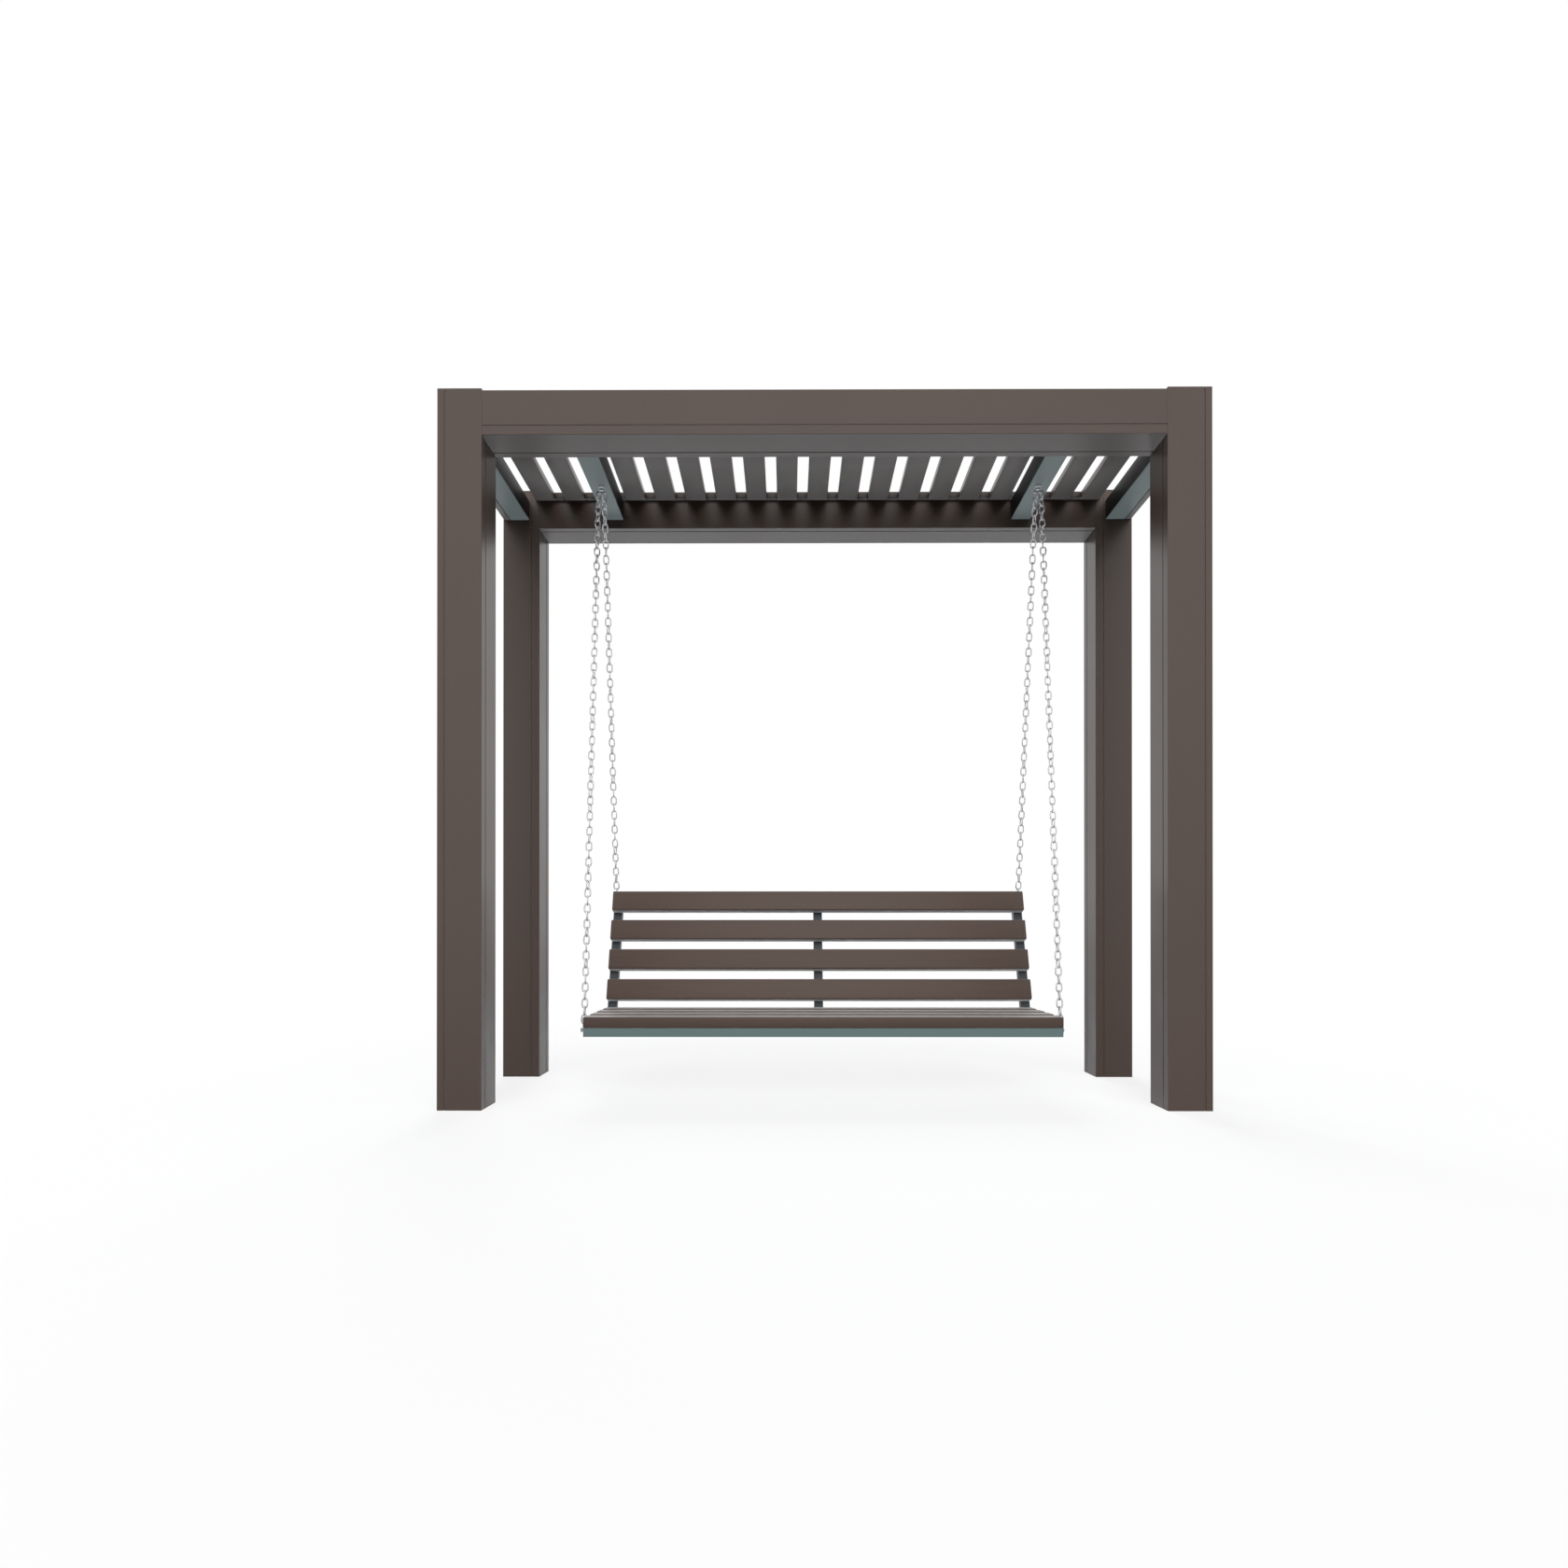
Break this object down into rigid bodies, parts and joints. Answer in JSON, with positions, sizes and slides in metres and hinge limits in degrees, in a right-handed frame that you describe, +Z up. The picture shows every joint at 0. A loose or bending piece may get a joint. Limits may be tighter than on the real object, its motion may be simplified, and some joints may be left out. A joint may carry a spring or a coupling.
{
  "type": "pergola swing bench",
  "caption": "Rectangular pergola frame with a slatted flat roof and a slatted bench that hangs and swings in it on chains.",
  "frame": {"origin": "on the ground under the middle of the pergola frame", "axes": "+X along the bench, to the right as seen from the front; +Y from front to back; +Z up; a person on the bench looks along -Y"},
  "size_m": [2.6, 0.87, 2.4283],
  "materials": {
    "frame_brown": "satin",
    "grey_green": "satin",
    "anthracite": "satin",
    "bench_composite": "matte",
    "galvanised_steel": "satin"
  },
  "bodies": {
    "pergola": {"post_front_left": "frame_brown", "post_front_right": "frame_brown", "post_rear_left": "frame_brown", "post_rear_right": "frame_brown", "post_cap_front_left": "frame_brown", "post_cap_front_right": "frame_brown", "post_cap_rear_left": "frame_brown", "post_cap_rear_right": "frame_brown", "ground_shoe_front_left": "galvanised_steel", "ground_shoe_front_right": "galvanised_steel", "ground_shoe_rear_left": "galvanised_steel", "ground_shoe_rear_right": "galvanised_steel", "front_beam": "frame_brown", "rear_beam": "frame_brown", "side_tube_left": "grey_green", "side_tube_right": "grey_green", "cross_tube_left": "grey_green", "cross_tube_right": "grey_green", "side_board_left": "frame_brown", "side_board_right": "frame_brown", "roof_slat_01": "frame_brown", "roof_slat_02": "frame_brown", "roof_slat_03": "frame_brown", "roof_slat_04": "frame_brown", "roof_slat_05": "frame_brown", "roof_slat_06": "frame_brown", "roof_slat_07": "frame_brown", "roof_slat_08": "frame_brown", "roof_slat_09": "frame_brown", "roof_slat_10": "frame_brown", "roof_slat_11": "frame_brown", "roof_slat_12": "frame_brown", "roof_slat_13": "frame_brown", "roof_slat_14": "frame_brown", "roof_slat_15": "frame_brown", "roof_slat_16": "frame_brown", "roof_slat_17": "frame_brown", "roof_slat_18": "frame_brown", "roof_slat_19": "frame_brown", "hanger_left": "galvanised_steel", "hanger_right": "galvanised_steel"},
    "swing_bench": {"seat_slat_1": "bench_composite", "seat_slat_2": "bench_composite", "seat_slat_3": "bench_composite", "seat_slat_4": "bench_composite", "back_slat_1": "bench_composite", "back_slat_2": "bench_composite", "back_slat_3": "bench_composite", "back_slat_4": "bench_composite", "seat_frame": "grey_green", "back_upright_left": "anthracite", "back_upright_middle": "anthracite", "back_upright_right": "anthracite", "chain_bolt_left": "galvanised_steel", "chain_bolt_right": "galvanised_steel", "chain_front_left": "galvanised_steel", "chain_front_right": "galvanised_steel", "chain_rear_left": "galvanised_steel", "chain_rear_right": "galvanised_steel"}
  },
  "joints": [
    {"name": "swing", "type": "hinge", "parent": "pergola", "child": "swing_bench", "pos_m": [0, 0, 2.2797], "axis": [1, 0, 0], "range_deg": [-30, 30]}
  ]
}
